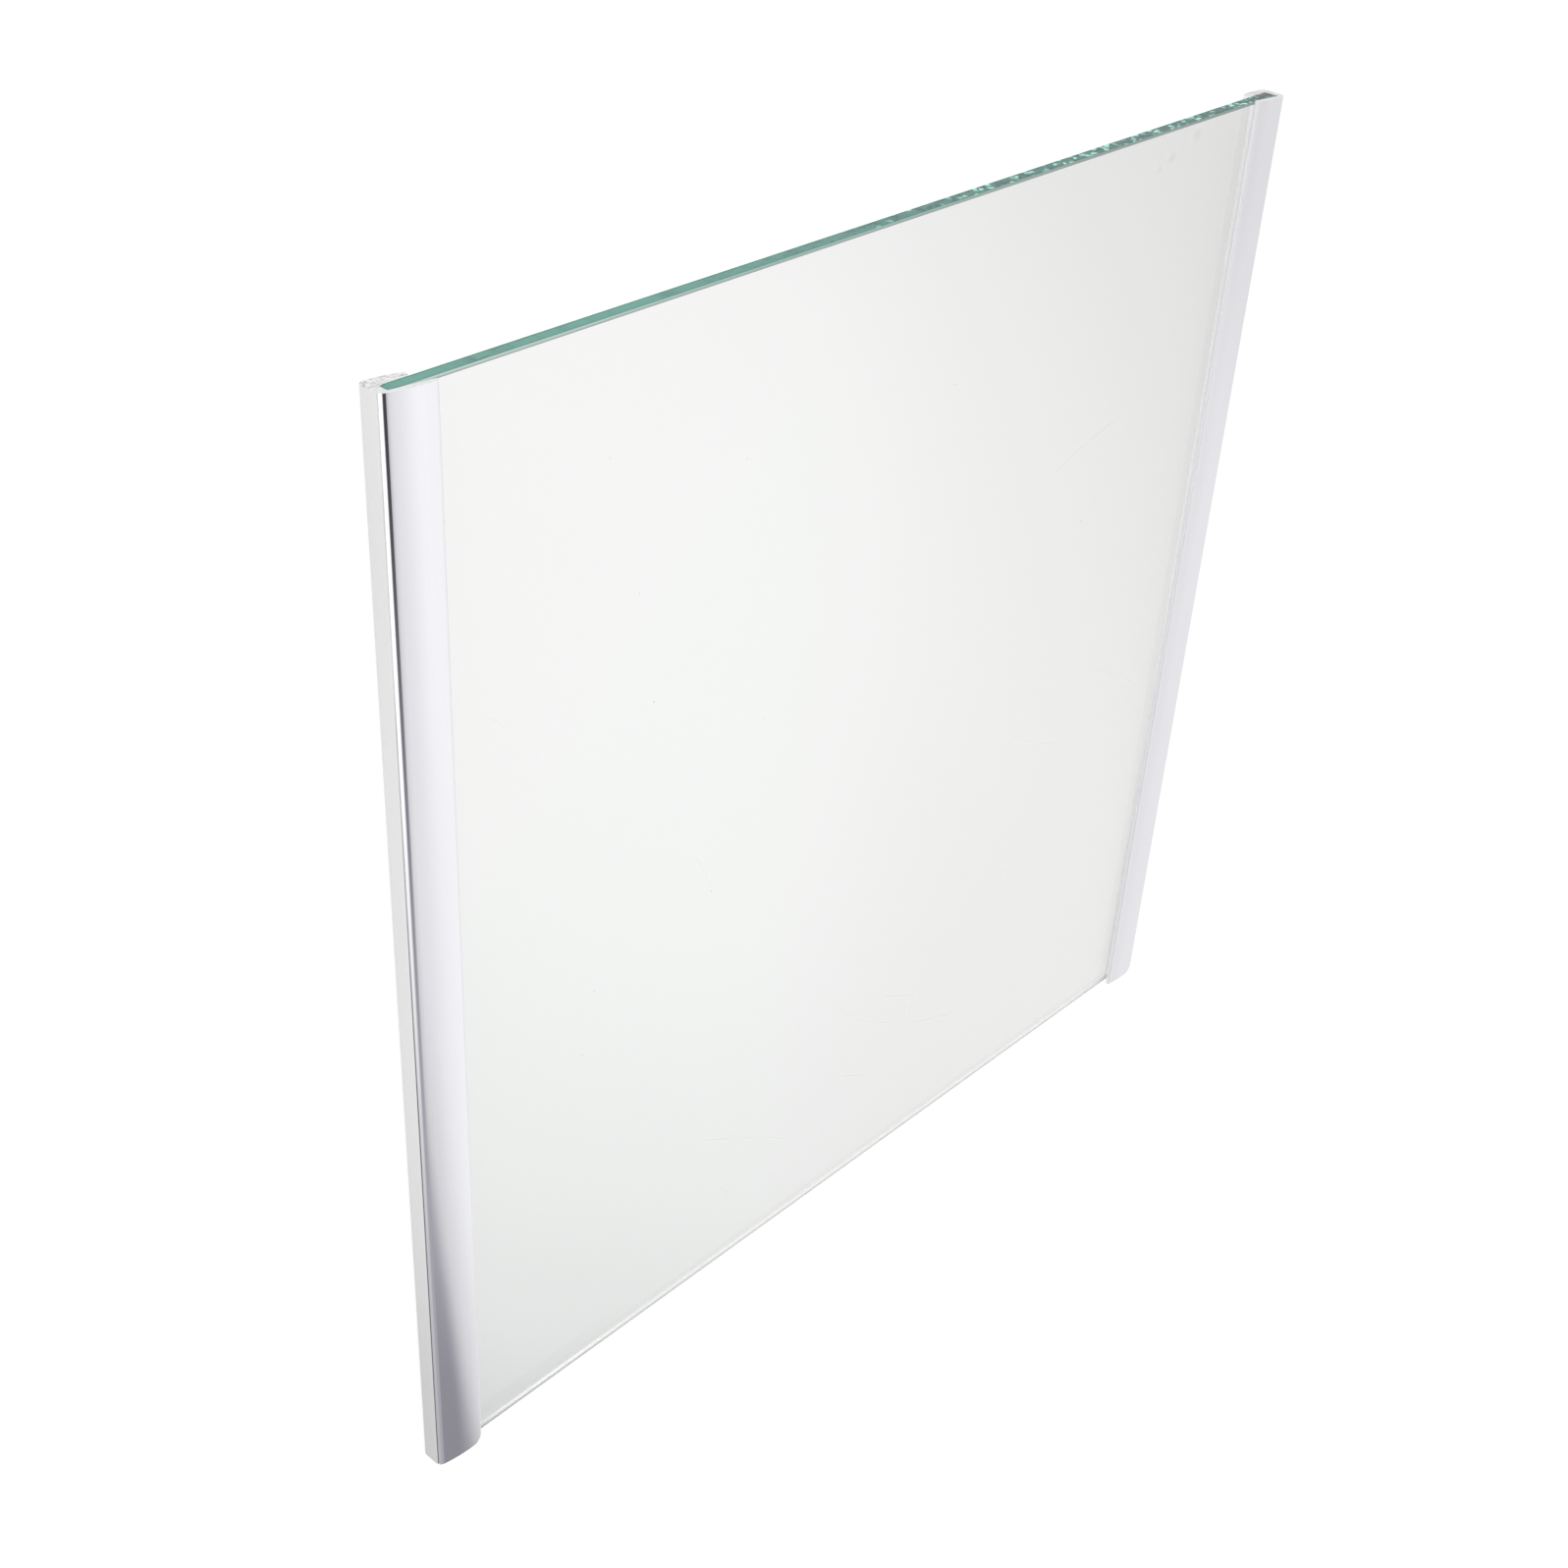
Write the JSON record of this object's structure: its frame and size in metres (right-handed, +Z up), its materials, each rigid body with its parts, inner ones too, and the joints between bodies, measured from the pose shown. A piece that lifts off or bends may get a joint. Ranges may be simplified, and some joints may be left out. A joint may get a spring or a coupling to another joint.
{
  "type": "refrigerator glass shelf",
  "caption": "Flat, nearly square refrigerator shelf: a clear toughened glass panel with crowned silver-grey channel trims pushed onto its front and rear edges.",
  "frame": {"origin": "middle of the shelf, on the surface that the trims' flat undersides lie on", "axes": "+X along the trims, +Y from the front trim to the rear trim, +Z up out of the face that carries the food"},
  "size_m": [0.2962, 0.2998, 0.0076],
  "materials": {
    "clear_glass": "clear float glass, green at its seamed edges",
    "silver_trim": "moulded plastic with a smooth pale silver skin"
  },
  "bodies": {
    "root": {"glass_panel": "clear_glass", "front_trim": "silver_trim", "rear_trim": "silver_trim"}
  },
  "joints": []
}
